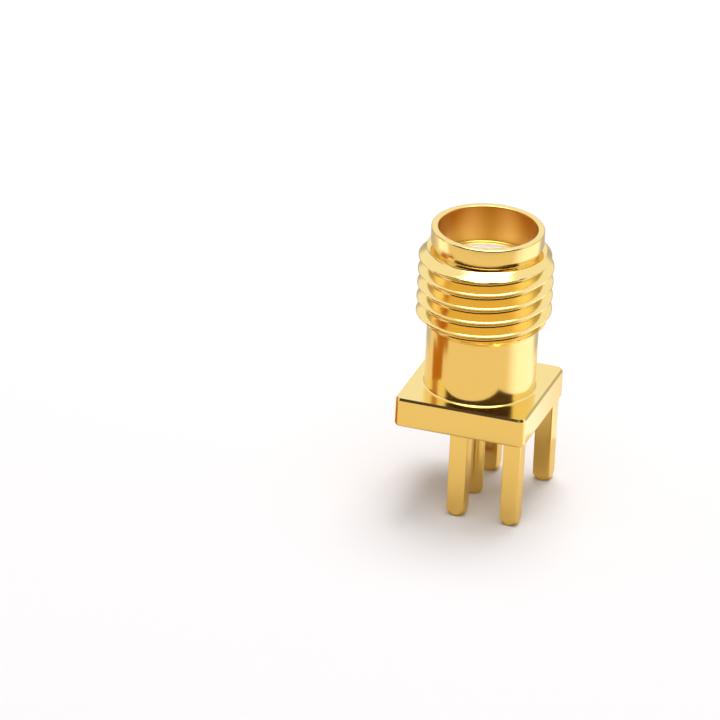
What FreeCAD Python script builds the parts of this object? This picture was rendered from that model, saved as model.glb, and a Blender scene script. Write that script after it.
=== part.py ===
import FreeCAD, Part
import math
import os
import Sketcher

# Edge-mount coaxial jack, in millimetres.
# +Z runs along the coaxial axis towards the mating mouth, with z = 0 at the tips of the four legs.
# +X runs from the centre contact towards the far pair of legs, through the circuit board's thickness.
# Y runs along the board's edge.

SIZES = [
    # legs, which straddle the board's edge
    ("leg_length", 4.15, "leg tips to the flange's rear face"),
    ("leg_width", 0.84, "side of the square leg"),
    ("leg_tip_radius", 0.36, "flat end of the pointed tip"),
    ("leg_tip_angle", 32, "half angle of the tip's cone, in degrees"),
    ("leg_rows_gap", 1.76, "clear gap for a 1.6 mm board between the two pairs"),
    ("leg_pair_spacing", 5.17, "centre to centre of the two legs of a pair"),
    # flange
    ("flange_side", 6.35, "square flange across flats"),
    ("flange_thickness", 1.45, "flange along the axis"),
    ("flange_corner_radius", 0.35, "upright corners of the flange"),
    ("flange_edge_radius", 0.16, "rounding of the flange's outer edges"),
    # turned barrel, measured forward from the flange
    ("neck_diameter", 5.20, "plain neck behind the thread"),
    ("neck_length", 3.08, "flange to the thread's rear end"),
    ("neck_root_radius", 0.08, "fillet where the neck meets the flange"),
    ("thread_length", 3.87, "thread with both end chamfers"),
    ("thread_major_diameter", 6.32, "crests of the 1/4-36 thread"),
    ("thread_pitch", 0.70556, "one inch over 36"),
    ("thread_depth", 0.455, "radial depth of the groove"),
    ("thread_crest_flat", 0.075, "flat along the crests"),
    ("thread_flank_angle", 30, "half of the thread's angle, in degrees"),
    ("thread_turns", 8, "turns of the cutting path, which runs out past both ends"),
    ("thread_path_start", 2.19, "flange to the middle of the path's first groove"),
    ("thread_overcut", 0.10, "the groove's profile reaches this far past the crests"),
    ("front_chamfer", 0.37, "45 degree chamfer on the thread's front end"),
    ("relief_width", 0.30, "thread relief behind the pilot ring"),
    ("relief_diameter", 4.84, "bottom of the thread relief"),
    ("relief_corner", 0.04, "break in the relief's inner corners"),
    ("pilot_diameter", 5.28, "pilot ring at the mouth"),
    ("pilot_length", 0.75, "pilot ring along the axis"),
    ("mouth_edge", 0.08, "break on the mouth's outer and inner edges"),
    # bores
    ("mating_bore_diameter", 4.62, "bore that takes the plug's outer contact"),
    ("mating_bore_depth", 1.80, "mouth to the reference plane"),
    ("dielectric_diameter", 4.10, "insulator and the hole that holds it"),
    # centre contact
    ("contact_diameter", 1.27, "socket and collar"),
    ("contact_recess", 0.05, "socket's end behind the reference plane"),
    ("contact_proud", 0.12, "collar proud of the insulator's rear face"),
    ("socket_diameter", 0.94, "socket for the plug's pin"),
    ("socket_depth", 3.00, "depth of the socket"),
    ("socket_lead_in", 0.06, "chamfer at the socket's mouth"),
    ("slot_width", 0.15, "slots that part the socket's tines"),
    ("slot_depth", 2.30, "length of the tines"),
    ("tine_clearance", 0.05, "radial room for the tines in the insulator"),
    ("tine_room_depth", 2.60, "depth of that room"),
    ("barb_diameter", 1.52, "ring that holds the contact in the insulator"),
    ("barb_start", 2.45, "flange's rear face to the barb's shoulder"),
    ("barb_length", 0.60, "taper of the barb"),
    ("tail_diameter", 0.84, "solder tail, which ends level with the leg tips"),
    ("tail_point", 0.10, "length of the tail's end chamfer"),
    ("tail_end_diameter", 0.70, "flat end of the tail"),
]

TOLERANCE = 0.001  # for finding edges by their place

doc = FreeCAD.newDocument("sma_connector")
sheet = doc.addObject("Spreadsheet::Sheet", "Sizes")


def fill_sheet():
    for row, (alias, value, meaning) in enumerate(SIZES, start=1):
        sheet.set("A%d" % row, alias)
        sheet.set("B%d" % row, str(value))
        sheet.set("C%d" % row, meaning)
        sheet.setAlias("B%d" % row, alias)
    doc.recompute()


# Heights along the axis, as expressions on the sheet.
FLANGE_REAR = "Sizes.leg_length"
FLANGE_MIDDLE = FLANGE_REAR + " + Sizes.flange_thickness / 2"
FLANGE_FRONT = FLANGE_REAR + " + Sizes.flange_thickness"
THREAD_REAR = FLANGE_FRONT + " + Sizes.neck_length"
THREAD_FRONT = THREAD_REAR + " + Sizes.thread_length"
PILOT_REAR = THREAD_FRONT + " + Sizes.relief_width"
MOUTH = PILOT_REAR + " + Sizes.pilot_length"
REFERENCE_PLANE = MOUTH + " - Sizes.mating_bore_depth"
CONTACT_FRONT = REFERENCE_PLANE + " - Sizes.contact_recess"
COLLAR_REAR = FLANGE_REAR + " - Sizes.contact_proud"
BARB_SHOULDER = FLANGE_REAR + " + Sizes.barb_start"
BARB_END = BARB_SHOULDER + " + Sizes.barb_length"

# Places of the legs across the axis.
NEAR_ROW = "0"
FAR_ROW = "Sizes.leg_rows_gap + Sizes.leg_width"
LEG_SIDE = "Sizes.leg_pair_spacing / 2"
LEGS = {
    "NearLeft": (NEAR_ROW, "-" + LEG_SIDE),
    "NearRight": (NEAR_ROW, LEG_SIDE),
    "FarLeft": (FAR_ROW, "-" + LEG_SIDE),
    "FarRight": (FAR_ROW, LEG_SIDE),
}


def new_body(label):
    body = doc.addObject("PartDesign::Body", label)
    body.Label = label
    return body


def origin_feature(body, role):
    return next(feature for feature in body.Origin.OriginFeatures if feature.Role == role)


def new_sketch(body, name, role):
    sketch = body.newObject("Sketcher::SketchObject", name)
    sketch.AttachmentSupport = (origin_feature(body, role), [""])
    sketch.MapMode = "FlatFace"
    return sketch


def place_point(sketch, edge, across, along):
    """Ties an edge's start point to two expressions, measured from the sketch's origin."""
    for kind, expression in (("DistanceX", across), ("DistanceY", along)):
        index = sketch.addConstraint(Sketcher.Constraint(kind, -1, 1, edge, 1, 0.0))
        sketch.setExpression("Constraints[%d]" % index, expression)


def closed_profile(sketch, corners):
    """A closed outline of straight edges through corners given as pairs of expressions."""
    first = sketch.GeometryCount
    count = len(corners)
    for step in range(count):
        start = FreeCAD.Vector(math.cos(step), math.sin(step), 0)
        end = FreeCAD.Vector(math.cos(step + 1), math.sin(step + 1), 0)
        sketch.addGeometry(Part.LineSegment(start, end), False)
    for step in range(count):
        following = first + (step + 1) % count
        sketch.addConstraint(Sketcher.Constraint("Coincident", first + step, 2, following, 1))
    for step, (across, along) in enumerate(corners):
        place_point(sketch, first + step, across, along)


def centred_rectangle(sketch, across, along, width, height):
    """A rectangle about a centre, all given as expressions."""
    left = "%s - (%s) / 2" % (across, width)
    right = "%s + (%s) / 2" % (across, width)
    low = "%s - (%s) / 2" % (along, height)
    high = "%s + (%s) / 2" % (along, height)
    closed_profile(sketch, [(left, low), (right, low), (right, high), (left, high)])


def turned(body, kind, name, corners):
    """A revolved feature about the coaxial axis, from corners given as radius and height."""
    sketch = new_sketch(body, name + "Profile", "XZ_Plane")
    closed_profile(sketch, corners)
    feature = body.newObject(kind, name)
    feature.Profile = sketch
    feature.ReferenceAxis = (sketch, ["V_Axis"])
    feature.Angle = 360
    doc.recompute()
    return feature


def edges_at_height(shape, height, least_reach):
    """Names of the edges that lie flat at one height and reach far enough from the axis."""
    names = []
    for index, edge in enumerate(shape.Edges, start=1):
        box = edge.BoundBox
        reach = max(abs(box.XMin), abs(box.XMax), abs(box.YMin), abs(box.YMax))
        flat = max(abs(box.ZMin - height), abs(box.ZMax - height)) < TOLERANCE
        if flat and reach > least_reach:
            names.append("Edge%d" % index)
    return names


def flange_with_legs(body):
    """The square flange, its rounded corners and edges, and the four pointed legs."""
    flange_rear = float(sheet.leg_length)
    flange_front = flange_rear + float(sheet.flange_thickness)
    half_side = float(sheet.flange_side) / 2

    outline = new_sketch(body, "FlangeOutline", "XY_Plane")
    outline.AttachmentOffset = FreeCAD.Placement(FreeCAD.Vector(0, 0, flange_rear), FreeCAD.Rotation())
    outline.setExpression("AttachmentOffset.Base.z", FLANGE_REAR)
    centred_rectangle(outline, "0", "0", "Sizes.flange_side", "Sizes.flange_side")
    flange = body.newObject("PartDesign::Pad", "Flange")
    flange.Profile = outline
    flange.setExpression("Length", "Sizes.flange_thickness")
    doc.recompute()

    upright = ["Edge%d" % index for index, edge in enumerate(flange.Shape.Edges, start=1)
               if edge.BoundBox.ZLength > TOLERANCE]
    corners = body.newObject("PartDesign::Fillet", "FlangeCorners")
    corners.Base = (flange, upright)
    corners.setExpression("Radius", "Sizes.flange_corner_radius")
    doc.recompute()

    rims = []
    for height in (flange_rear, flange_front):
        rims += edges_at_height(corners.Shape, height, half_side / 2)
    edges = body.newObject("PartDesign::Fillet", "FlangeEdges")
    edges.Base = (corners, rims)
    edges.setExpression("Radius", "Sizes.flange_edge_radius")
    doc.recompute()

    leg_outline = new_sketch(body, "LegOutlines", "XY_Plane")
    for across, along in LEGS.values():
        centred_rectangle(leg_outline, across, along, "Sizes.leg_width", "Sizes.leg_width")
    legs = body.newObject("PartDesign::Pad", "Legs")
    legs.Profile = leg_outline
    legs.setExpression("Length", FLANGE_MIDDLE)
    doc.recompute()


def point_legs(body):
    """The cone cut on each leg's tip, about the leg's own axis."""
    reach = "Sizes.leg_width"
    rise = "(Sizes.leg_width - Sizes.leg_tip_radius) / tan(Sizes.leg_tip_angle * 1 deg)"
    for name, (across, along) in LEGS.items():
        sketch = new_sketch(body, name + "TipProfile", "XZ_Plane")
        sketch.setExpression("AttachmentOffset.Base.x", across)
        sketch.setExpression("AttachmentOffset.Base.z", "-(%s)" % along)
        closed_profile(sketch, [("Sizes.leg_tip_radius", "0"), (reach, "0"), (reach, rise)])
        tip = body.newObject("PartDesign::Groove", name + "Tip")
        tip.Profile = sketch
        tip.ReferenceAxis = (sketch, ["V_Axis"])
        tip.Angle = 360
        doc.recompute()


def barrel(body):
    """The turned blank: neck, thread blank with its end chamfers, relief and pilot ring."""
    neck = "Sizes.neck_diameter / 2"
    major = "Sizes.thread_major_diameter / 2"
    relief = "Sizes.relief_diameter / 2"
    pilot = "Sizes.pilot_diameter / 2"
    rear_chamfer = "(%s - %s)" % (major, neck)
    blank = turned(body, "PartDesign::Revolution", "Barrel", [
        ("0", FLANGE_MIDDLE),
        (neck, FLANGE_MIDDLE),
        (neck, THREAD_REAR),
        (major, "%s + %s" % (THREAD_REAR, rear_chamfer)),
        (major, THREAD_FRONT + " - Sizes.front_chamfer"),
        (major + " - Sizes.front_chamfer", THREAD_FRONT),
        (relief + " + Sizes.relief_corner", THREAD_FRONT),
        (relief, THREAD_FRONT + " + Sizes.relief_corner"),
        (relief, PILOT_REAR + " - Sizes.relief_corner"),
        (relief + " + Sizes.relief_corner", PILOT_REAR),
        (pilot, PILOT_REAR),
        (pilot, MOUTH + " - Sizes.mouth_edge"),
        (pilot + " - Sizes.mouth_edge", MOUTH),
        ("0", MOUTH),
    ])

    flange_front = float(sheet.leg_length) + float(sheet.flange_thickness)
    neck_radius = float(sheet.neck_diameter) / 2
    root = [name for name in edges_at_height(blank.Shape, flange_front, 0)
            if abs(blank.Shape.getElement(name).BoundBox.XMax - neck_radius) < TOLERANCE]
    fillet = body.newObject("PartDesign::Fillet", "NeckRoot")
    fillet.Base = (blank, root)
    fillet.setExpression("Radius", "Sizes.neck_root_radius")
    doc.recompute()


def thread(body):
    """The right-hand V groove, cut along a helix that runs out into the neck and the relief."""
    root = "Sizes.thread_major_diameter / 2 - Sizes.thread_depth"
    clear = "Sizes.thread_major_diameter / 2 + Sizes.thread_overcut"
    middle = FLANGE_FRONT + " + Sizes.thread_path_start"
    slope = "tan(Sizes.thread_flank_angle * 1 deg)"
    half_at_crest = "(Sizes.thread_pitch - Sizes.thread_crest_flat) / 2"
    half_mouth = "(%s + Sizes.thread_overcut * %s)" % (half_at_crest, slope)
    half_root = "(%s - Sizes.thread_depth * %s)" % (half_at_crest, slope)
    sketch = new_sketch(body, "ThreadGrooveProfile", "XZ_Plane")
    closed_profile(sketch, [
        (root, "%s - %s" % (middle, half_root)),
        (clear, "%s - %s" % (middle, half_mouth)),
        (clear, "%s + %s" % (middle, half_mouth)),
        (root, "%s + %s" % (middle, half_root)),
    ])
    groove = body.newObject("PartDesign::SubtractiveHelix", "ThreadGroove")
    groove.Profile = sketch
    groove.ReferenceAxis = (sketch, ["V_Axis"])
    groove.Mode = "pitch-turns-angle"
    groove.HasBeenEdited = True
    groove.setExpression("Pitch", "Sizes.thread_pitch")
    groove.setExpression("Turns", "Sizes.thread_turns")
    doc.recompute()


def bores(body):
    """The stepped bore: the insulator's hole from the rear, and the mating bore at the mouth."""
    hole = "Sizes.dielectric_diameter / 2"
    bore = "Sizes.mating_bore_diameter / 2"
    turned(body, "PartDesign::Groove", "Bores", [
        ("0", FLANGE_REAR + " - Sizes.flange_thickness"),
        (hole, FLANGE_REAR + " - Sizes.flange_thickness"),
        (hole, REFERENCE_PLANE),
        (bore, REFERENCE_PLANE),
        (bore, MOUTH + " - Sizes.mouth_edge"),
        (bore + " + Sizes.mouth_edge", MOUTH),
        (bore + " + Sizes.mouth_edge", MOUTH + " + Sizes.pilot_length"),
        ("0", MOUTH + " + Sizes.pilot_length"),
    ])


def connector_body():
    """The gold-plated shell, turned and milled from one bar."""
    body = new_body("connector_body")
    flange_with_legs(body)
    barrel(body)
    thread(body)
    bores(body)
    point_legs(body)
    return body


def dielectric_insulator():
    """The fluoropolymer sleeve, flush with the flange behind and with the reference plane in front."""
    body = new_body("dielectric_insulator")
    outer = "Sizes.dielectric_diameter / 2"
    inner = "Sizes.contact_diameter / 2"
    room = inner + " + Sizes.tine_clearance"
    turned(body, "PartDesign::Revolution", "Sleeve", [
        (inner, FLANGE_REAR),
        (outer, FLANGE_REAR),
        (outer, REFERENCE_PLANE),
        (room, REFERENCE_PLANE),
        (room, REFERENCE_PLANE + " - Sizes.tine_room_depth"),
        (inner, REFERENCE_PLANE + " - Sizes.tine_room_depth"),
        (inner, BARB_END),
        ("Sizes.barb_diameter / 2", BARB_SHOULDER),
        (inner, BARB_SHOULDER),
    ])
    return body


def centre_contact():
    """The turned contact: slotted socket in front, barb in the insulator, collar and solder tail."""
    body = new_body("centre_contact")
    outer = "Sizes.contact_diameter / 2"
    tail = "Sizes.tail_diameter / 2"
    socket = "Sizes.socket_diameter / 2"
    turned(body, "PartDesign::Revolution", "Turning", [
        ("0", "0"),
        ("Sizes.tail_end_diameter / 2", "0"),
        (tail, "Sizes.tail_point"),
        (tail, COLLAR_REAR),
        (outer, COLLAR_REAR),
        (outer, BARB_SHOULDER),
        ("Sizes.barb_diameter / 2", BARB_SHOULDER),
        (outer, BARB_END),
        (outer, CONTACT_FRONT),
        (socket + " + Sizes.socket_lead_in", CONTACT_FRONT),
        (socket, CONTACT_FRONT + " - Sizes.socket_lead_in"),
        (socket, CONTACT_FRONT + " - Sizes.socket_depth"),
        ("0", CONTACT_FRONT + " - Sizes.socket_depth"),
    ])

    slots = new_sketch(body, "SlotOutlines", "XY_Plane")
    slots.setExpression("AttachmentOffset.Base.z", CONTACT_FRONT)
    half = "Sizes.slot_width / 2"
    reach = "Sizes.contact_diameter"
    closed_profile(slots, [
        ("-" + reach, "-" + half), ("-" + half, "-" + half), ("-" + half, "-" + reach),
        (half, "-" + reach), (half, "-" + half), (reach, "-" + half),
        (reach, half), (half, half), (half, reach),
        ("-" + half, reach), ("-" + half, half), ("-" + reach, half),
    ])
    cross = body.newObject("PartDesign::Pocket", "Slots")
    cross.Profile = slots
    cross.setExpression("Length", "Sizes.slot_depth")
    doc.recompute()
    return body


def check_document():
    for item in doc.Objects:
        if "Invalid" in item.State or "Error" in item.State:
            raise RuntimeError("%s is %s" % (item.Name, item.State))


def write_node(body):
    shape = body.Shape
    if shape.isNull() or not shape.isValid() or len(shape.Solids) != 1:
        raise RuntimeError(body.Label + " isn't one valid solid")
    shape.exportStep("parts/%s.step" % body.Label)
    print("%s %.3f mm3, %d faces" % (body.Label, shape.Volume, len(shape.Faces)))


fill_sheet()
nodes = [connector_body(), dielectric_insulator(), centre_contact()]
check_document()
os.makedirs("parts", exist_ok=True)
for node in nodes:
    write_node(node)
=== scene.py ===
import math
import bmesh
import bpy
from mathutils import Matrix, Vector


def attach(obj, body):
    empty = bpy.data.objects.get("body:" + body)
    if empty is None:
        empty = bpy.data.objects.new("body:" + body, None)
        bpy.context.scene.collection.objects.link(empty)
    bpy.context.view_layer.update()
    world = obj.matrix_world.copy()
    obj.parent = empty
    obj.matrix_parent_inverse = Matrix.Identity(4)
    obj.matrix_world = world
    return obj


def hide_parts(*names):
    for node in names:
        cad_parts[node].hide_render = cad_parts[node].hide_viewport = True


# Edge-mount coaxial jack. Blender objects are in metres; the sizes named here are in millimetres.
# +Z runs along the coaxial axis to the mating mouth, with z = 0 at the tips of the legs.

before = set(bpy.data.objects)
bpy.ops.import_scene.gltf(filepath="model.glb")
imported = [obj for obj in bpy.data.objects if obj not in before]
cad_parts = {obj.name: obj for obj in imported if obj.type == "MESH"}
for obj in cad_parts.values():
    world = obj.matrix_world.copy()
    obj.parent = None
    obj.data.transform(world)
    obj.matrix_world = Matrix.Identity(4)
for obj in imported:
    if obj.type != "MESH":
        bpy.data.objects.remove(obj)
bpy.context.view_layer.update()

MM = 0.001

# Legs and flange
LEG_LENGTH = 4.15
LEG_WIDTH = 0.84
LEG_EDGE_ROUNDING = 0.05
LEG_TIP_RADIUS = 0.36
LEG_TIP_ANGLE = math.radians(32)
LEG_PAIR_SPACING = 5.17
LEG_ROWS_GAP = 1.76
FLANGE_SIDE = 6.35
FLANGE_THICKNESS = 1.45
FLANGE_CORNER_RADIUS = 0.35
FLANGE_EDGE_RADIUS = 0.16
FRONT_EDGE_DEPTH = 0.11
FRONT_EDGE_INSET = 0.075

# Turned barrel
NECK_RADIUS = 2.60
NECK_LENGTH = 3.08
NECK_ROOT_RADIUS = 0.08
THREAD_LENGTH = 3.87
THREAD_MAJOR_RADIUS = 3.16
THREAD_PITCH = 0.70556
THREAD_DEPTH = 0.455
THREAD_CREST_FLAT = 0.075
THREAD_FLANK_ANGLE = math.radians(30)
THREAD_GROOVE_START = 2.19
THREAD_CREST_ROUNDING = 0.05
THREAD_END_ROUNDING = 0.03
FRONT_CHAMFER = 0.37
RELIEF_WIDTH = 0.30
RELIEF_RADIUS = 2.42
RELIEF_CORNER = 0.04
PILOT_RADIUS = 2.64
PILOT_LENGTH = 0.75
PILOT_FOOT_ROUNDING = 0.02
MOUTH_EDGE = 0.08
BORE_RADIUS = 2.31
BORE_DEPTH = 1.80

# Insulator and centre contact
SLEEVE_RADIUS = 2.05
CONTACT_RADIUS = 0.635
CONTACT_RECESS = 0.05
CONTACT_PROUD = 0.12
SOCKET_RADIUS = 0.47
SOCKET_DEPTH = 3.00
SOCKET_LEAD_IN = 0.06
SLOT_WIDTH = 0.15
SLOT_DEPTH = 2.30
TINE_CLEARANCE = 0.05
TINE_ROOM_DEPTH = 2.60
BARB_RADIUS = 0.76
BARB_START = 2.45
BARB_LENGTH = 0.60
TAIL_RADIUS = 0.42
TAIL_POINT = 0.10
TAIL_END_RADIUS = 0.35
FINE_EDGE = 0.03

# Heights along the axis
FLANGE_REAR = LEG_LENGTH
FLANGE_FRONT = FLANGE_REAR + FLANGE_THICKNESS
THREAD_REAR = FLANGE_FRONT + NECK_LENGTH
THREAD_FRONT = THREAD_REAR + THREAD_LENGTH
PILOT_REAR = THREAD_FRONT + RELIEF_WIDTH
MOUTH = PILOT_REAR + PILOT_LENGTH
REFERENCE_PLANE = MOUTH - BORE_DEPTH
CONTACT_FRONT = REFERENCE_PLANE - CONTACT_RECESS

# Mesh fineness
BODY_COLUMNS = 144
LEG_COLUMNS = 48
FLANGE_EDGE_STEPS = 5
ROWS_PER_PITCH = 36
SLEEVE_COLUMNS = 96
CONTACT_COLUMNS = 64
ARC_STEPS = 4
SHARP_ANGLE = math.radians(32)
FLAT_FACE_WEIGHT = 100
SAME_LEVEL = 0.003
WELD_DISTANCE = 0.0001

# The photographed view: the shifts say how far the foot of the axis lies from the picture's middle
CAMERA_AZIMUTH = math.radians(16.83)
CAMERA_ELEVATION = math.radians(25.62)
CAMERA_ROLL = math.radians(2.91)
CAMERA_DISTANCE = 522.8
CAMERA_SHIFT_RIGHT = 5.32
CAMERA_SHIFT_UP = -6.08
FOCAL_LENGTH_PIXELS = 11170
PICTURE_PIXELS = 720
SENSOR_WIDTH = 36
NEAR_CLIP, FAR_CLIP = 10, 10000


class Number:
    """A number socket in a node tree. Arithmetic on it adds Math nodes to the tree."""

    def __init__(self, tree, socket):
        self.tree = tree
        self.socket = socket

    def math(self, operation, *others):
        return calculated(self.tree, operation, self, *others)

    def __add__(self, other):
        return self.math("ADD", other)

    def __radd__(self, other):
        return self.math("ADD", other)

    def __sub__(self, other):
        return self.math("SUBTRACT", other)

    def __rsub__(self, other):
        return calculated(self.tree, "SUBTRACT", other, self)

    def __mul__(self, other):
        return self.math("MULTIPLY", other)

    def __rmul__(self, other):
        return self.math("MULTIPLY", other)

    def __truediv__(self, other):
        return self.math("DIVIDE", other)


def calculated(tree, operation, *values):
    made = add_node(tree, "ShaderNodeMath", {"operation": operation}, dict(enumerate(values)))
    return Number(tree, made.outputs[0])


def add_node(tree, kind, settings=None, inputs=None):
    """A node with its settings made first, then its sockets set or linked."""
    node = tree.nodes.new(kind)
    for name, value in (settings or {}).items():
        setattr(node, name, value)
    for name, value in (inputs or {}).items():
        socket = value.socket if isinstance(value, Number) else value
        if isinstance(socket, bpy.types.NodeSocket):
            tree.links.new(socket, node.inputs[name])
        else:
            node.inputs[name].default_value = socket
    return node


def axis_number(tree, vector, axis):
    """One component of a vector socket."""
    parts = add_node(tree, "ShaderNodeSeparateXYZ", inputs={0: vector})
    return Number(tree, parts.outputs[axis])


def mixed_tone(tree, share, first, second):
    """A colour that goes from the first to the second as the share goes from 0 to 1."""
    colour_a, colour_b, colour_result = 6, 7, 2
    mix = add_node(tree, "ShaderNodeMix", {"data_type": "RGBA"}, {
        "Factor": share, colour_a: first, colour_b: second})
    return mix.outputs[colour_result]


def smooth_step(tree, value, start, end):
    """A number that goes smoothly from 0 to 1 as the value goes from start to end."""
    step = add_node(tree, "ShaderNodeMapRange", {"interpolation_type": "SMOOTHSTEP"}, {
        "Value": value, "From Min": start, "From Max": end})
    return Number(tree, step.outputs["Result"])


# Materials

GOLD_TONE = (0.93, 0.72, 0.275, 1.0)
GOLD_PALE_TONE = (0.95, 0.745, 0.30, 1.0)
BODY_ROUGHNESS = 0.10
CONTACT_ROUGHNESS = 0.12
CLOUD_ROUGHNESS = 0.05
RING_ROUGHNESS = 0.04
RING_BUMP = 0.10

# Painted shade down the bore: darker gold, with lighter streaks of painted reflection round the axis
BORE_PAINTED_SHADE_DARK_TONE = (0.72, 0.39, 0.07, 1.0)
BORE_PAINTED_SHADE_LIGHT_TONE = (0.90, 0.56, 0.15, 1.0)
BORE_PAINTED_REFLECTION_STREAKS = 8
BORE_PAINTED_REFLECTION_TURN = math.radians(110.6)
BORE_ROUGHNESS = 0.22

PTFE_TONE = (0.90, 0.88, 0.85, 1.0)
PTFE_SHADE = (0.86, 0.835, 0.80, 1.0)
PTFE_ROUGHNESS = 0.38
PTFE_CLOUD_ROUGHNESS = 0.12
PTFE_SUBSURFACE = 0.25
PTFE_SUBSURFACE_DEPTH = 0.4
FACING_FEED = 0.09
FACING_BUMP = 0.25

TOOL_MARK_DEPTH = 0.002

# Noise: features per metre across the axis and along it, then the detail
GOLD_CLOUDS = (420, 420, 2)
TOOL_RINGS = (90, 26000, 3)
PTFE_CLOUDS = (700, 700, 3)
FLOOR_CLOUDS = (12, 12, 2)
NOISE_ROUGHNESS = 0.6


def new_material(name):
    material = bpy.data.materials.new(name)
    material.use_nodes = True
    tree = material.node_tree
    tree.nodes.clear()
    return material, tree


def stretched_noise(tree, place, across, along, detail):
    """Noise that can be drawn out around the axis, as a turning tool leaves its marks."""
    mapped = add_node(tree, "ShaderNodeMapping", inputs={"Vector": place, "Scale": (across, across, along)})
    noise = add_node(tree, "ShaderNodeTexNoise", inputs={
        "Vector": mapped.outputs["Vector"], "Scale": 1.0, "Detail": detail, "Roughness": NOISE_ROUGHNESS})
    return Number(tree, noise.outputs["Fac"])


def axis_distance(tree, place):
    flat = add_node(tree, "ShaderNodeVectorMath", {"operation": "MULTIPLY"}, {0: place, 1: (1.0, 1.0, 0.0)})
    length = add_node(tree, "ShaderNodeVectorMath", {"operation": "LENGTH"}, {0: flat.outputs["Vector"]})
    return Number(tree, length.outputs["Value"])


def gold_plate(name, base_roughness):
    """Bright gold plate over turned brass: faint tool rings, and painted shade down the bore, with streaks of
    painted reflection.
    """
    material, tree = new_material(name)
    place = add_node(tree, "ShaderNodeTexCoord").outputs["Object"]
    cloud = stretched_noise(tree, place, *GOLD_CLOUDS)
    rings = stretched_noise(tree, place, *TOOL_RINGS)
    within = axis_distance(tree, place).math("LESS_THAN", (BORE_RADIUS + FINE_EDGE) * MM)
    above = axis_number(tree, place, "Z").math("GREATER_THAN", (REFERENCE_PLANE + FINE_EDGE) * MM)
    in_bore = within * above
    around = axis_number(tree, place, "Y").math("ARCTAN2", axis_number(tree, place, "X"))
    # Inside the bore the gold is darkened as painted shade, banded round the axis as painted reflection
    painted_reflection_streak = 0.5 - 0.5 * (around * BORE_PAINTED_REFLECTION_STREAKS - BORE_PAINTED_REFLECTION_TURN).math("COSINE")
    plain_tone = mixed_tone(tree, cloud, GOLD_TONE, GOLD_PALE_TONE)
    painted_bore_shade = mixed_tone(tree, painted_reflection_streak, BORE_PAINTED_SHADE_DARK_TONE, BORE_PAINTED_SHADE_LIGHT_TONE)
    roughness = base_roughness + cloud * CLOUD_ROUGHNESS + rings * RING_ROUGHNESS + in_bore * BORE_ROUGHNESS
    bump = add_node(tree, "ShaderNodeBump", inputs={
        "Strength": RING_BUMP, "Distance": TOOL_MARK_DEPTH * MM, "Height": rings})
    shader = add_node(tree, "ShaderNodeBsdfPrincipled", inputs={
        "Base Color": mixed_tone(tree, in_bore, plain_tone, painted_bore_shade), "Metallic": 1.0,
        "Roughness": roughness, "Normal": bump.outputs["Normal"]})
    add_node(tree, "ShaderNodeOutputMaterial", inputs={"Surface": shader.outputs["BSDF"]})
    return material


def waxy_ptfe():
    """White fluoropolymer with the fine rings of a facing cut."""
    material, tree = new_material("waxy white insulator")
    place = add_node(tree, "ShaderNodeTexCoord").outputs["Object"]
    cut = (axis_distance(tree, place) * (2 * math.pi / (FACING_FEED * MM))).math("SINE")
    cloud = stretched_noise(tree, place, *PTFE_CLOUDS)
    bump = add_node(tree, "ShaderNodeBump", inputs={
        "Strength": FACING_BUMP, "Distance": TOOL_MARK_DEPTH * MM, "Height": cut + cloud})
    shader = add_node(tree, "ShaderNodeBsdfPrincipled", inputs={
        "Base Color": mixed_tone(tree, cloud, PTFE_SHADE, PTFE_TONE),
        "Roughness": PTFE_ROUGHNESS + cloud * PTFE_CLOUD_ROUGHNESS, "Subsurface Weight": PTFE_SUBSURFACE,
        "Subsurface Scale": PTFE_SUBSURFACE_DEPTH * MM, "Normal": bump.outputs["Normal"]})
    add_node(tree, "ShaderNodeOutputMaterial", inputs={"Surface": shader.outputs["BSDF"]})
    return material


BODY_GOLD = gold_plate("polished body gold", BODY_ROUGHNESS)
CONTACT_GOLD = gold_plate("polished contact gold", CONTACT_ROUGHNESS)
INSULATOR_WHITE = waxy_ptfe()


# Outlines and rings

def rounded_outline(corners):
    """Points of an outline from corners given as (radius, height, rounding), with arcs where rounded."""
    points = []
    for index, (across, along, rounding) in enumerate(corners):
        corner = Vector((across, along))
        if rounding == 0:
            points.append(corner)
            continue
        before = (Vector(corners[index - 1][:2]) - corner).normalized()
        after = (Vector(corners[index + 1][:2]) - corner).normalized()
        half = before.angle(after) / 2
        centre = corner + (before + after).normalized() * rounding / math.sin(half)
        start = corner + before * rounding / math.tan(half) - centre
        end = corner + after * rounding / math.tan(half) - centre
        turn = -start.angle_signed(end)
        for step in range(ARC_STEPS + 1):
            points.append(centre + Matrix.Rotation(turn * step / ARC_STEPS, 2) @ start)
    return points


def circle(radius, count):
    return [(radius * math.cos(2 * math.pi * step / count), radius * math.sin(2 * math.pi * step / count))
            for step in range(count)]


def four_turns(points):
    """The points, followed by the same turned about the axis by one, two and three quarters."""
    turned = []
    for _ in range(4):
        turned += points
        points = [(-y, x) for x, y in points]
    return turned


def rounded_square(half_side, corner_radius, count):
    """A square with round corners about the origin, anticlockwise from the middle of its +X side.

    A third of the points lie on the corners' arcs."""
    quarter = count // 4
    on_corner = quarter // 3
    on_half_side = (quarter - on_corner) // 2
    straight = half_side - corner_radius
    first_quarter = [(half_side, straight * step / on_half_side) for step in range(on_half_side)]
    for step in range(on_corner + 1):
        angle = math.pi / 2 * step / on_corner
        first_quarter.append((straight + corner_radius * math.cos(angle),
                              straight + corner_radius * math.sin(angle)))
    for step in range(1, on_half_side):
        first_quarter.append((straight * (1 - step / on_half_side), half_side))
    return four_turns(first_quarter)


def ring(shell, points, height, centre=(0, 0)):
    return [shell.verts.new(((x + centre[0]) * MM, (y + centre[1]) * MM, height * MM)) for x, y in points]


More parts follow.
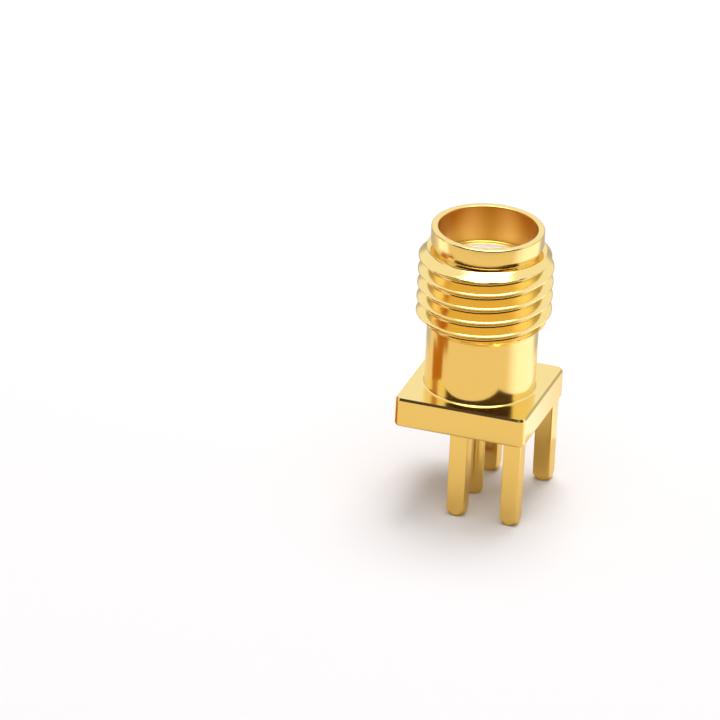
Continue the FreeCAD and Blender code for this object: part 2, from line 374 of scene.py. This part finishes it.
def skin(shell, first, second):
    """Faces between two rings; they point outwards where the second lies above the first."""
    count = len(first)
    for step in range(count):
        following = (step + 1) % count
        shell.faces.new((first[step], first[following], second[following], second[step]))


def skin_turned(shell, first, outline):
    """Carries a round ring along an outline of radii and heights, and returns the last ring."""
    for radius, height in outline:
        following = ring(shell, circle(radius, len(first)), height)
        skin(shell, first, following)
        first = following
    return first


def boundary_ring(shell, height):
    """The open edge at one height, sorted anticlockwise from +X."""
    found = {vert for edge in shell.edges if edge.is_boundary for vert in edge.verts
             if abs(vert.co.z - height * MM) < SAME_LEVEL * MM}
    step = 2 * math.pi / BODY_COLUMNS
    return sorted(found, key=lambda vert: round(math.atan2(vert.co.y, vert.co.x) / step) % BODY_COLUMNS)


def linked(name, data):
    """A new object of the scene, with this mesh, light or camera."""
    made = bpy.data.objects.new(name, data)
    bpy.context.scene.collection.objects.link(made)
    return made


def plain_mesh(source):
    """What a modified object looks like, as a plain mesh."""
    graph = bpy.context.evaluated_depsgraph_get()
    return bpy.data.meshes.new_from_object(
        source.evaluated_get(graph), preserve_all_data_layers=True, depsgraph=graph)


def mesh_of(shell, name):
    shell.normal_update()
    mesh = bpy.data.meshes.new(name)
    shell.to_mesh(mesh)
    shell.free()
    return mesh


def finished(name, mesh, material, node):
    """Makes a piece of a finished mesh, with flat faces shaded flat, and hides the imported node it takes the
    place of.
    """
    mesh.materials.clear()
    mesh.materials.append(material)
    mesh.shade_smooth()
    mesh.set_sharp_from_angle(angle=SHARP_ANGLE)
    rough = linked(name + " draft", mesh)
    weighted = rough.modifiers.new("flat faces", "WEIGHTED_NORMAL")
    weighted.keep_sharp = True
    weighted.weight = FLAT_FACE_WEIGHT
    piece = linked(name, plain_mesh(rough))
    bpy.data.objects.remove(rough)
    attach(piece, "root")
    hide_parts(node)


# The thread, a helical strip in Geometry Nodes

# The round root stands in for a flat one: it touches both flanks and the flat's level.
HALF_ROOT_FLAT = (THREAD_PITCH - THREAD_CREST_FLAT) / 2 - THREAD_DEPTH * math.tan(THREAD_FLANK_ANGLE)
ROOT_ARC_RADIUS = HALF_ROOT_FLAT * math.cos(THREAD_FLANK_ANGLE) / (1 - math.sin(THREAD_FLANK_ANGLE))
THREAD_INPUTS = {
    "Rear": THREAD_REAR * MM,
    "Front": THREAD_FRONT * MM,
    "Groove": (FLANGE_FRONT + THREAD_GROOVE_START) * MM,
    "Pitch": THREAD_PITCH * MM,
    "Major radius": THREAD_MAJOR_RADIUS * MM,
    "Root radius": (THREAD_MAJOR_RADIUS - THREAD_DEPTH) * MM,
    "Root arc": ROOT_ARC_RADIUS * MM,
    "Root arc reach": ROOT_ARC_RADIUS * math.cos(THREAD_FLANK_ANGLE) * MM,
    "Half root flat": HALF_ROOT_FLAT * MM,
    "Flank slope": 1 / math.tan(THREAD_FLANK_ANGLE),
    "Rear radius": NECK_RADIUS * MM,
    "Front radius": (THREAD_MAJOR_RADIUS - FRONT_CHAMFER) * MM,
    "Crest rounding": THREAD_CREST_ROUNDING * MM,
    "Chamfer rounding": THREAD_END_ROUNDING * MM,
}


def thread_tree(rows):
    """A grid wrapped into the thread: its columns run round the axis, and its rows climb the helix."""
    tree = bpy.data.node_groups.new("helical thread", "GeometryNodeTree")
    tree.interface.new_socket("Geometry", in_out="INPUT", socket_type="NodeSocketGeometry")
    for name in THREAD_INPUTS:
        tree.interface.new_socket(name, in_out="INPUT", socket_type="NodeSocketFloat")
    tree.interface.new_socket("Material", in_out="INPUT", socket_type="NodeSocketMaterial")
    tree.interface.new_socket("Geometry", in_out="OUTPUT", socket_type="NodeSocketGeometry")
    given = add_node(tree, "NodeGroupInput")
    size = {name: Number(tree, given.outputs[name]) for name in THREAD_INPUTS}

    grid = add_node(tree, "GeometryNodeMeshGrid", inputs={
        "Size X": 1.0, "Size Y": 1.0, "Vertices X": BODY_COLUMNS + 1, "Vertices Y": rows + 1})
    spot = add_node(tree, "GeometryNodeInputPosition").outputs["Position"]
    turn = axis_number(tree, spot, "X") + 0.5
    row = (axis_number(tree, spot, "Y") + 0.5) * rows
    climbed = (row / ROWS_PER_PITCH + turn - 1) * size["Pitch"] + size["Rear"]
    height = climbed.math("MAXIMUM", size["Rear"]).math("MINIMUM", size["Front"])

    phase = (height - size["Groove"]) / size["Pitch"] - turn + 0.5
    distance = (phase.math("FRACT") - 0.5).math("ABSOLUTE") * size["Pitch"]
    flank = size["Root radius"] + (distance - size["Half root flat"]) * size["Flank slope"]
    within = distance.math("MINIMUM", size["Root arc reach"])
    arc = (size["Root arc"] * size["Root arc"] - within * within).math("SQRT")
    groove = flank.math("MAXIMUM", size["Root radius"] + size["Root arc"] - arc)
    crest = groove.math("SMOOTH_MIN", size["Major radius"], size["Crest rounding"])
    rear_chamfer = size["Rear radius"] + height - size["Rear"]
    front_chamfer = size["Front radius"] + size["Front"] - height
    edge = size["Chamfer rounding"]
    radius = crest.math("SMOOTH_MIN", rear_chamfer, edge).math("SMOOTH_MIN", front_chamfer, edge)

    angle = turn * (2 * math.pi)
    place = add_node(tree, "ShaderNodeCombineXYZ", inputs={
        "X": radius * angle.math("COSINE"), "Y": radius * angle.math("SINE"), "Z": height})
    wrapped = add_node(tree, "GeometryNodeSetPosition", inputs={
        "Geometry": grid.outputs["Mesh"], "Position": place.outputs["Vector"]})
    welded = add_node(tree, "GeometryNodeMergeByDistance", inputs={
        "Geometry": wrapped.outputs["Geometry"], "Distance": WELD_DISTANCE * MM})
    real = add_node(tree, "GeometryNodeRealizeInstances", inputs={"Geometry": welded.outputs["Geometry"]})
    coated = add_node(tree, "GeometryNodeSetMaterial", inputs={
        "Geometry": real.outputs["Geometry"], "Material": given.outputs["Material"]})
    add_node(tree, "NodeGroupOutput", inputs={"Geometry": coated.outputs["Geometry"]})
    return tree


def thread_mesh():
    """The threaded stretch as a tube, open at both ends."""
    rows = math.ceil((THREAD_LENGTH / THREAD_PITCH + 1) * ROWS_PER_PITCH)
    holder = linked("thread draft", bpy.data.meshes.new("thread draft"))
    modifier = holder.modifiers.new("helical thread", "NODES")
    modifier.node_group = thread_tree(rows)
    for item in modifier.node_group.interface.items_tree:
        if item.in_out == "INPUT" and item.name in THREAD_INPUTS:
            modifier[item.identifier] = THREAD_INPUTS[item.name]
        elif item.in_out == "INPUT" and item.name == "Material":
            modifier[item.identifier] = BODY_GOLD
    mesh = plain_mesh(holder)
    bpy.data.objects.remove(holder)
    return mesh


# The gold body

def leg_places():
    far_row = LEG_ROWS_GAP + LEG_WIDTH
    return [(row, side * LEG_PAIR_SPACING / 2) for row in (0, far_row) for side in (-1, 1)]


def pointed_leg(shell, centre):
    """One leg from its conical tip up to the flange, and its open top ring."""
    outline = rounded_square(LEG_WIDTH / 2, LEG_EDGE_ROUNDING, LEG_COLUMNS)
    reach = [math.hypot(x, y) for x, y in outline]
    tip = [(x * LEG_TIP_RADIUS / r, y * LEG_TIP_RADIUS / r) for (x, y), r in zip(outline, reach)]
    lowest = ring(shell, tip, 0, centre)
    shell.faces.new(list(reversed(lowest)))
    shoulder = ring(shell, outline, 0, centre)
    for vert, r in zip(shoulder, reach):
        vert.co.z = (r - LEG_TIP_RADIUS) / math.tan(LEG_TIP_ANGLE) * MM
    skin(shell, lowest, shoulder)
    top = ring(shell, outline, FLANGE_REAR, centre)
    skin(shell, shoulder, top)
    return top


def flange_rings(shell):
    """The flange from its rear face's edge round to the foot of the neck: its first and last rings."""
    levels = []
    for step in range(FLANGE_EDGE_STEPS + 1):
        angle = math.pi / 2 * step / FLANGE_EDGE_STEPS
        levels.append((FLANGE_EDGE_RADIUS * (1 - math.sin(angle)),
                       FLANGE_REAR + FLANGE_EDGE_RADIUS * (1 - math.cos(angle))))
    levels += [(0, FLANGE_FRONT - FRONT_EDGE_DEPTH), (FRONT_EDGE_INSET, FLANGE_FRONT)]
    rings = []
    for pulled_in, level in levels:
        outline = rounded_square(FLANGE_SIDE / 2 - pulled_in, FLANGE_CORNER_RADIUS - pulled_in, BODY_COLUMNS)
        rings.append(ring(shell, outline, level))
    for lower, upper in zip(rings, rings[1:]):
        skin(shell, lower, upper)
    return rings[0], rings[-1]


def connector_body():
    """The gold shell, as one closed skin from the legs over the thread and mouth down the bore."""
    shell = bmesh.new()
    shell.from_mesh(thread_mesh())
    thread_rear = boundary_ring(shell, THREAD_REAR)
    thread_front = boundary_ring(shell, THREAD_FRONT)

    flange_foot, flange_top = flange_rings(shell)
    neck_foot = skin_turned(shell, flange_top, rounded_outline([
        (NECK_RADIUS + 2 * NECK_ROOT_RADIUS, FLANGE_FRONT, 0),
        (NECK_RADIUS, FLANGE_FRONT, NECK_ROOT_RADIUS),
        (NECK_RADIUS, FLANGE_FRONT + 2 * NECK_ROOT_RADIUS, 0),
    ]))
    skin(shell, neck_foot, thread_rear)

    bore_end = skin_turned(shell, thread_front, rounded_outline([
        (RELIEF_RADIUS + 2 * RELIEF_CORNER, THREAD_FRONT, 0),
        (RELIEF_RADIUS, THREAD_FRONT, RELIEF_CORNER),
        (RELIEF_RADIUS, PILOT_REAR, RELIEF_CORNER),
        (PILOT_RADIUS, PILOT_REAR, PILOT_FOOT_ROUNDING),
        (PILOT_RADIUS, MOUTH, MOUTH_EDGE),
        (BORE_RADIUS, MOUTH, MOUTH_EDGE),
        (BORE_RADIUS, REFERENCE_PLANE, FINE_EDGE),
        (SLEEVE_RADIUS, REFERENCE_PLANE, FINE_EDGE),
        (SLEEVE_RADIUS, FLANGE_REAR, 0),
    ]))

    openings = [flange_foot, bore_end] + [pointed_leg(shell, centre) for centre in leg_places()]
    rims = [shell.edges.get((loop[step - 1], loop[step])) for loop in openings for step in range(len(loop))]
    bmesh.ops.triangle_fill(shell, use_beauty=True, use_dissolve=False, edges=rims, normal=(0, 0, -1))
    return mesh_of(shell, "connector body")


# Insulator and contact

def insulator_sleeve():
    """The sleeve between the body and the contact, with the room for the tines and the barb's groove."""
    shell = bmesh.new()
    outline = rounded_outline([
        (CONTACT_RADIUS, FLANGE_REAR, 0),
        (SLEEVE_RADIUS, FLANGE_REAR, FINE_EDGE),
        (SLEEVE_RADIUS, REFERENCE_PLANE, FINE_EDGE),
        (CONTACT_RADIUS + TINE_CLEARANCE, REFERENCE_PLANE, FINE_EDGE),
        (CONTACT_RADIUS + TINE_CLEARANCE, REFERENCE_PLANE - TINE_ROOM_DEPTH, 0),
        (CONTACT_RADIUS, REFERENCE_PLANE - TINE_ROOM_DEPTH, 0),
        (CONTACT_RADIUS, FLANGE_REAR + BARB_START + BARB_LENGTH, 0),
        (BARB_RADIUS, FLANGE_REAR + BARB_START, 0),
        (CONTACT_RADIUS, FLANGE_REAR + BARB_START, 0),
    ])
    first = ring(shell, circle(outline[0][0], SLEEVE_COLUMNS), outline[0][1])
    last = skin_turned(shell, first, outline[1:])
    skin(shell, last, first)
    return mesh_of(shell, "insulator sleeve")


def turned_contact():
    """The contact before its slots are cut."""
    shell = bmesh.new()
    barb = FLANGE_REAR + BARB_START
    outline = rounded_outline([
        (TAIL_END_RADIUS, 0, 0),
        (TAIL_RADIUS, TAIL_POINT, FINE_EDGE),
        (TAIL_RADIUS, FLANGE_REAR - CONTACT_PROUD, FINE_EDGE),
        (CONTACT_RADIUS, FLANGE_REAR - CONTACT_PROUD, FINE_EDGE),
        (CONTACT_RADIUS, barb, 0),
        (BARB_RADIUS, barb, 0),
        (CONTACT_RADIUS, barb + BARB_LENGTH, 0),
        (CONTACT_RADIUS, CONTACT_FRONT, FINE_EDGE),
        (SOCKET_RADIUS + SOCKET_LEAD_IN, CONTACT_FRONT, FINE_EDGE),
        (SOCKET_RADIUS, CONTACT_FRONT - SOCKET_LEAD_IN, 0),
        (SOCKET_RADIUS, CONTACT_FRONT - SOCKET_DEPTH, 0),
    ])
    first = ring(shell, circle(outline[0][0], CONTACT_COLUMNS), outline[0][1])
    shell.faces.new(list(reversed(first)))
    last = skin_turned(shell, first, outline[1:])
    shell.faces.new(last)
    return mesh_of(shell, "turned contact")


def slot_cutter():
    """A cross of two thin slots, from the tines' roots to clear of their ends."""
    shell = bmesh.new()
    half = SLOT_WIDTH / 2
    reach = 2 * CONTACT_RADIUS
    cross = four_turns([(reach, -half), (reach, half), (half, half)])
    low = ring(shell, cross, CONTACT_FRONT - SLOT_DEPTH)
    high = ring(shell, cross, REFERENCE_PLANE + CONTACT_RADIUS)
    shell.faces.new(list(reversed(low)))
    skin(shell, low, high)
    shell.faces.new(high)
    return mesh_of(shell, "slot cutter")


def slotted_contact():
    blank = linked("contact draft", turned_contact())
    cutter = linked("slot draft", slot_cutter())
    cut = blank.modifiers.new("slots", "BOOLEAN")
    cut.operation = "DIFFERENCE"
    cut.solver = "EXACT"
    cut.object = cutter
    mesh = plain_mesh(blank)
    for item in (blank, cutter):
        bpy.data.objects.remove(item)
    return mesh


finished("connector_body_gold", connector_body(), BODY_GOLD, "connector_body")
finished("insulator_sleeve_white", insulator_sleeve(), INSULATOR_WHITE,
         "dielectric_insulator")
finished("centre_contact_gold", slotted_contact(), CONTACT_GOLD, "centre_contact")


# Studio

FRONT = Vector((math.sin(CAMERA_AZIMUTH), -math.cos(CAMERA_AZIMUTH), 0))
RIGHT = Vector((math.cos(CAMERA_AZIMUTH), math.sin(CAMERA_AZIMUTH), 0))

# Parts of the surroundings as polished metal sees them: turned right from the camera's side, raised above
# the floor, full within and gone beyond, in degrees
SOFTBOX_SKY = (0, 76, 24, 32)
DIM_SKY = [(turned_right, 18, 25, 31) for turned_right in (-45, -22, 0, 22, 45)]
AMBER_SKY = (-107, 16, 11, 15)
BACK_SKY = (180, 0, 72, 88)
# Where the floor's painted reflection tones lie
LEFT_FLOOR = (-98, 0, 11, 18)
RIGHT_FLOOR = (98, 0, 14, 50)
AMBER_FLOOR = (-96, 0, 15, 22)
BACK_FLOOR = (180, 0, 40, 62)

# Where those parts of the floor begin or end, out from the axis in millimetres
LEFT_FLOOR_START = 25
RIGHT_FLOOR_START = 8
AMBER_FLOOR_END = 12
BACK_FLOOR_START = 17
FAR_FLOOR_START, FAR_FLOOR_FULL = 40, 85

# The floor's painted reflection tones, which only polished metal sees; the grey and amber ones also tint the
# sky, and the cards glow in amber
PAINTED_FLOOR_REFLECTION_TONE = (0.90, 0.75, 0.49, 1.0)
PAINTED_SIDE_REFLECTION_TONE = (1.30, 1.28, 1.35, 1.0)
PAINTED_BACK_REFLECTION_TONE = (0.56, 0.54, 0.52, 1.0)
PAINTED_AMBER_REFLECTION_TONE = (0.50, 0.17, 0.012, 1.0)
DIM_SKY_TONE = (0.03, 0.009, 0.003, 1.0)
PAINTED_DARK_REFLECTION_TONE = (0.02, 0.018, 0.015, 1.0)
WHITE = (1.0, 1.0, 1.0, 1.0)

SOFTBOX_STRENGTH = 3.5
SKY_DIFFUSE_SHARE = 0.45

# Heights, as the sine of the elevation, between which the grey behind fades out of the sky
BACK_SKY_GONE, BACK_SKY_FULL = 0.25, 0.10

FLOOR_TONE = (0.81, 0.785, 0.79, 1.0)
FLOOR_PALE_TONE = (0.83, 0.81, 0.82, 1.0)
FLOOR_GLOW = 0.06
FLOOR_SIZE = 2000

# Glowing cards that paint an amber reflection at the left: turned right in degrees, then width, foot and top in
# millimetres
PAINTED_AMBER_REFLECTION_CARDS = ((-93.6, 6.3, 0.0, 3.4), (-82, 6.4, 3.4, 7.3))
PAINTED_AMBER_REFLECTION_DISTANCE = 11.7
# Sizes of the near-black sheet that paints a dark reflection in front of the part, in millimetres
DARK_CARD_START = 62
DARK_CARD_DEPTH = 300
DARK_CARD_WIDTH = 600
DARK_CARD_HEIGHT = 0.2

KEY_BEARING, KEY_ELEVATION = 168, 72
KEY_DISTANCE = 350
KEY_SIZE = 160
KEY_POWER = 0.65


def direction(turned_right, elevation):
    """A unit vector, turned right from the camera's side of the part and raised above the floor, in degrees."""
    turn, rise = math.radians(turned_right), math.radians(elevation)
    flat = FRONT * math.cos(turn) + RIGHT * math.sin(turn)
    return flat * math.cos(rise) + Vector((0, 0, math.sin(rise)))


def soft_spot(tree, bearing, turned_right, elevation, full_within, gone_beyond):
    """A number that is 1 near one direction and fades to 0 away from it, with the angles in degrees."""
    towards = add_node(tree, "ShaderNodeVectorMath", {"operation": "DOT_PRODUCT"}, {
        0: bearing, 1: direction(turned_right, elevation)})
    return smooth_step(tree, towards.outputs["Value"], math.cos(math.radians(gone_beyond)),
                       math.cos(math.radians(full_within)))


def studio_sky():
    """White surroundings. Polished metal sees a softbox overhead, a dim stretch on the camera's side, an amber
    patch at the left and a grey foot behind."""
    world = bpy.data.worlds.new("studio sky")
    bpy.context.scene.world = world
    world.use_nodes = True
    tree = world.node_tree
    tree.nodes.clear()
    sky = add_node(tree, "ShaderNodeTexCoord").outputs["Generated"]
    softbox = soft_spot(tree, sky, *SOFTBOX_SKY)
    dim = soft_spot(tree, sky, *DIM_SKY[0])
    for spot in DIM_SKY[1:]:
        dim = dim.math("MAXIMUM", soft_spot(tree, sky, *spot))
    amber = soft_spot(tree, sky, *AMBER_SKY)
    low = smooth_step(tree, axis_number(tree, sky, "Z"), BACK_SKY_GONE, BACK_SKY_FULL)
    grey = soft_spot(tree, sky, *BACK_SKY) * low

    rays = add_node(tree, "ShaderNodeLightPath")
    seen = Number(tree, rays.outputs["Is Camera Ray"]) + Number(tree, rays.outputs["Is Transmission Ray"])
    glossy = Number(tree, rays.outputs["Is Glossy Ray"])
    studio = 1 + softbox * SOFTBOX_STRENGTH
    strength = seen + (1 - seen) * studio * (glossy + (1 - glossy) * SKY_DIFFUSE_SHARE)
    tone = WHITE
    for part, part_tone in ((grey, PAINTED_BACK_REFLECTION_TONE), (dim, DIM_SKY_TONE), (amber, PAINTED_AMBER_REFLECTION_TONE)):
        tone = mixed_tone(tree, part * (1 - seen), tone, part_tone)
    background = add_node(tree, "ShaderNodeBackground", inputs={"Color": tone, "Strength": strength})
    add_node(tree, "ShaderNodeOutputWorld", inputs={"Surface": background.outputs["Background"]})


def flat_sheet(name, centre, across, up, material):
    """A stage sheet through its centre, reaching half of each given vector to both sides."""
    shell = bmesh.new()
    corners = [centre - across / 2 - up / 2, centre + across / 2 - up / 2,
               centre + across / 2 + up / 2, centre - across / 2 + up / 2]
    shell.faces.new([shell.verts.new(corner) for corner in corners])
    sheet = linked(name, mesh_of(shell, name))
    sheet.data.materials.append(material)
    return sheet


def painted_floor_reflection(tree, place):
    """The floor's painted reflection, a tone that only polished metal sees: warm in front, bright at both
    sides, grey behind and far away, and amber near the left."""
    bearing = add_node(tree, "ShaderNodeVectorMath", {"operation": "NORMALIZE"}, {0: place}).outputs["Vector"]
    away = axis_distance(tree, place)
    left = soft_spot(tree, bearing, *LEFT_FLOOR) * away.math("GREATER_THAN", LEFT_FLOOR_START * MM)
    right = soft_spot(tree, bearing, *RIGHT_FLOOR) * away.math("GREATER_THAN", RIGHT_FLOOR_START * MM)
    amber = soft_spot(tree, bearing, *AMBER_FLOOR) * away.math("LESS_THAN", AMBER_FLOOR_END * MM)
    behind = soft_spot(tree, bearing, *BACK_FLOOR) * away.math("GREATER_THAN", BACK_FLOOR_START * MM)
    far = smooth_step(tree, away, FAR_FLOOR_START * MM, FAR_FLOOR_FULL * MM)
    tone = PAINTED_FLOOR_REFLECTION_TONE
    for part, part_tone in ((left.math("MAXIMUM", right), PAINTED_SIDE_REFLECTION_TONE),
                            (behind.math("MAXIMUM", far), PAINTED_BACK_REFLECTION_TONE), (amber, PAINTED_AMBER_REFLECTION_TONE)):
        tone = mixed_tone(tree, part, tone, part_tone)
    return tone


def floor_material():
    """A pale floor that takes shadows, white to the camera and clear from below, in painted reflection tones
    for polished metal.
    """
    material, tree = new_material("white floor")
    place = add_node(tree, "ShaderNodeTexCoord").outputs["Object"]
    tone = mixed_tone(tree, stretched_noise(tree, place, *FLOOR_CLOUDS), FLOOR_TONE, FLOOR_PALE_TONE)
    rays = add_node(tree, "ShaderNodeLightPath")
    glossy = Number(tree, rays.outputs["Is Glossy Ray"])
    seen = glossy.math("MAXIMUM", rays.outputs["Is Camera Ray"])
    seen = seen.math("MAXIMUM", rays.outputs["Is Transmission Ray"])
    # Glossy rays see the floor in its painted reflection tones; other rays see it plain
    painted_reflection_tone = mixed_tone(tree, glossy, WHITE, painted_floor_reflection(tree, place))
    shaded = add_node(tree, "ShaderNodeVectorMath", {"operation": "MULTIPLY"}, {0: tone, 1: painted_reflection_tone})
    matt = add_node(tree, "ShaderNodeBsdfDiffuse", inputs={"Color": shaded.outputs["Vector"]})
    glow = add_node(tree, "ShaderNodeEmission", inputs={"Color": painted_reflection_tone, "Strength": seen * FLOOR_GLOW})
    both = add_node(tree, "ShaderNodeAddShader", inputs={0: matt.outputs["BSDF"], 1: glow.outputs["Emission"]})
    below = add_node(tree, "ShaderNodeNewGeometry").outputs["Backfacing"]
    clear = add_node(tree, "ShaderNodeBsdfTransparent")
    shown = add_node(tree, "ShaderNodeMixShader", inputs={
        0: below, 1: both.outputs["Shader"], 2: clear.outputs["BSDF"]})
    add_node(tree, "ShaderNodeOutputMaterial", inputs={"Surface": shown.outputs["Shader"]})
    return material


def studio_floor():
    flat_sheet("studio_floor", Vector((0, 0, 0)), Vector((FLOOR_SIZE, 0, 0)) * MM,
               Vector((0, FLOOR_SIZE, 0)) * MM, floor_material())


def glowing(name, tone):
    material, tree = new_material(name)
    glow = add_node(tree, "ShaderNodeEmission", inputs={"Color": tone, "Strength": 1.0})
    add_node(tree, "ShaderNodeOutputMaterial", inputs={"Surface": glow.outputs["Emission"]})
    return material


def reflected_card(name, centre, across, up, material):
    """A glowing sheet that only polished metal sees, for a painted reflection."""
    card = flat_sheet(name, centre, across, up, material)
    card.visible_camera = False
    card.visible_diffuse = False
    card.visible_shadow = False


def painted_amber_reflection_cards():
    """Upright glowing cards at the left, the upper one further forward, that paint an amber reflection."""
    amber = glowing("painted amber reflection", PAINTED_AMBER_REFLECTION_TONE)
    for turned_right, width, foot, top in PAINTED_AMBER_REFLECTION_CARDS:
        centre = direction(turned_right, 0) * PAINTED_AMBER_REFLECTION_DISTANCE * MM + Vector((0, 0, (foot + top) / 2 * MM))
        across = direction(turned_right + 90, 0) * width * MM
        reflected_card("painted_amber_reflection_card", centre, across, Vector((0, 0, (top - foot) * MM)), amber)


def painted_dark_reflection_card():
    """A near-black card flat over the floor, from a little way in front of the part, that paints a dark
    reflection only polished metal sees.
    """
    middle = DARK_CARD_START + DARK_CARD_DEPTH / 2
    reflected_card("painted_dark_reflection_card", (FRONT * middle + Vector((0, 0, DARK_CARD_HEIGHT))) * MM,
                   RIGHT * DARK_CARD_WIDTH * MM, FRONT * DARK_CARD_DEPTH * MM,
                   glowing("painted dark reflection", PAINTED_DARK_REFLECTION_TONE))


def key_light():
    """A soft lamp high behind the part. Polished metal sees the sky's softbox in its place."""
    lamp = bpy.data.lights.new("key softbox", "AREA")
    lamp.shape = "SQUARE"
    lamp.size = KEY_SIZE * MM
    lamp.energy = KEY_POWER
    holder = linked("key softbox", lamp)
    holder.location = direction(KEY_BEARING, KEY_ELEVATION) * KEY_DISTANCE * MM
    holder.rotation_euler = (-holder.location).to_track_quat("-Z", "Y").to_euler()
    holder.visible_glossy = False


def photographed_view():
    """The camera as it stood to the part in the photograph."""
    back = direction(0, math.degrees(CAMERA_ELEVATION))
    up = back.cross(RIGHT)
    right = RIGHT * math.cos(CAMERA_ROLL) + up * math.sin(CAMERA_ROLL)
    up = up * math.cos(CAMERA_ROLL) - RIGHT * math.sin(CAMERA_ROLL)
    spot = back * CAMERA_DISTANCE - right * CAMERA_SHIFT_RIGHT - up * CAMERA_SHIFT_UP
    lens = bpy.data.cameras.new("photographed view")
    lens.sensor_width = SENSOR_WIDTH
    lens.lens = FOCAL_LENGTH_PIXELS / PICTURE_PIXELS * SENSOR_WIDTH
    lens.clip_start, lens.clip_end = NEAR_CLIP * MM, FAR_CLIP * MM
    camera = linked("photographed view", lens)
    turned = Matrix((right, up, back)).transposed().to_4x4()
    camera.matrix_world = Matrix.Translation(spot * MM) @ turned
    bpy.context.scene.camera = camera


bpy.context.scene.view_settings.view_transform = "Standard"
studio_sky()
studio_floor()
painted_amber_reflection_cards()
painted_dark_reflection_card()
key_light()
photographed_view()
